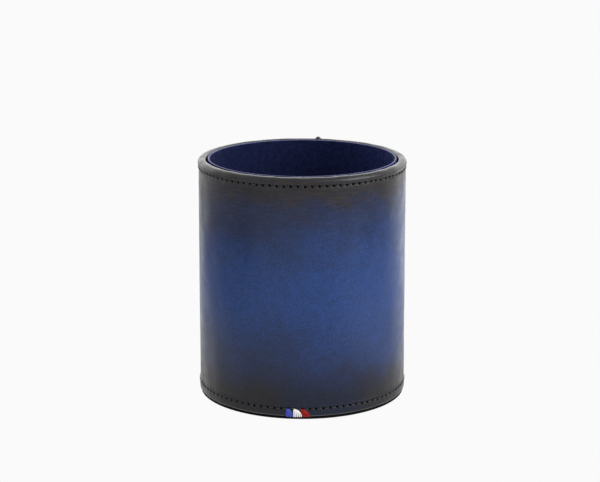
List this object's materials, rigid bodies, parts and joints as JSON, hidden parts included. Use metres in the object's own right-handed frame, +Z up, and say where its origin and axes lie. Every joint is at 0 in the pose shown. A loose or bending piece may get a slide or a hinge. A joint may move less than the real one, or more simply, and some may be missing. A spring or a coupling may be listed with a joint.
{
  "type": "pen holder cup",
  "caption": "Round desk pen cup: a stiff core wrapped in hand-coloured leather with a rolled, stitched rim and hem, a velvet lining and three coloured accent threads at the front of the hem.",
  "frame": {"origin": "centre of the underside, on the surface the cup stands on", "axes": "+Z up along the cup's axis, the front with the coloured accent threads faces -Y, +X to the right of someone facing the front"},
  "size_m": [0.0874, 0.0876, 0.0995],
  "materials": {
    "outer_leather": "smooth patinated calf, blue burnished to near black at the rim and hem, satin",
    "hidden_leather": "skived black lining leather, matt",
    "base_leather": "black leather, matt",
    "board": "solid laminated board",
    "card": "thin lining card",
    "velvet": "short-pile navy velvet",
    "black_thread": "waxed black thread",
    "blue_thread": "waxed blue thread",
    "white_thread": "waxed white thread",
    "red_thread": "waxed red thread"
  },
  "bodies": {
    "root": {"outer_leather": "outer_leather", "hem_strip": "hidden_leather", "rim_strip": "hidden_leather", "seam_backing": "hidden_leather", "core_tube": "board", "core_base": "board", "base_cover": "base_leather", "lining_card": "card", "lining_wall": "velvet", "floor_card": "card", "lining_floor": "velvet", "top_stitching": "black_thread", "bottom_stitching": "black_thread", "seam_stitching": "black_thread", "accent_thread_blue": "blue_thread", "accent_thread_white": "white_thread", "accent_thread_red": "red_thread"}
  },
  "joints": []
}
